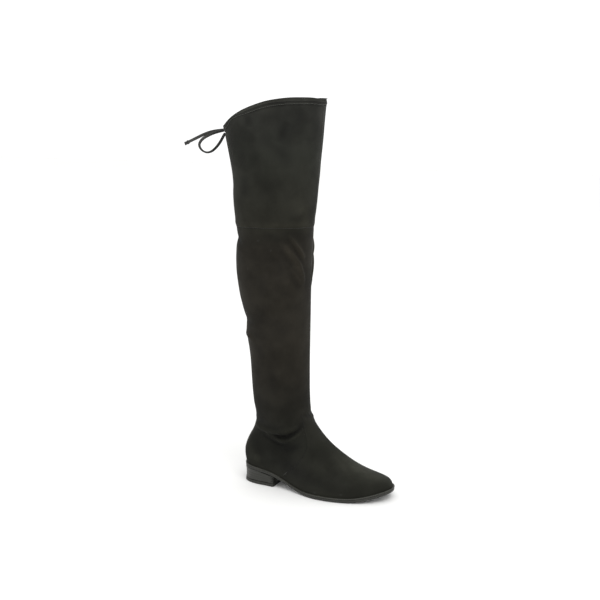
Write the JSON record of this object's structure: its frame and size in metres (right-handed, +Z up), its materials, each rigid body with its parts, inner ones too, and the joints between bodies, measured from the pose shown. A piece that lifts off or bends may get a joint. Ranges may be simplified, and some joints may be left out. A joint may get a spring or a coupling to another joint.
{
  "type": "thigh high boot",
  "caption": "Pull-on thigh high boot with soft hollow shaft, drawstring tie at the back of the collar, thin welted sole and low stacked block heel",
  "frame": {"origin": "centre of the heel's flat resting face, on the floor", "axes": "+X from the heel to the toe, -Y to the outer side of the right foot, +Z up along the shaft"},
  "size_m": [0.3183, 0.1338, 0.6025],
  "materials": {
    "outsole": "semi-matte black rubber",
    "welt": "semi-matte black rubber strip with a stitched groove",
    "heel": "semi-matte black, scored with stack lines",
    "top_lift": "matte black rubber",
    "insole": "dark woven lining",
    "upper": "black faux suede with a soft short nap",
    "tie": "flat black faux suede lace"
  },
  "bodies": {
    "root": {"outsole": "outsole", "welt": "welt", "heel": "heel", "top_lift": "top_lift", "insole": "insole", "upper": "upper", "tie_knot": "tie", "tie_loop_outer": "tie", "tie_tail_outer": "tie", "tie_loop_inner": "tie", "tie_tail_inner": "tie"}
  },
  "joints": []
}
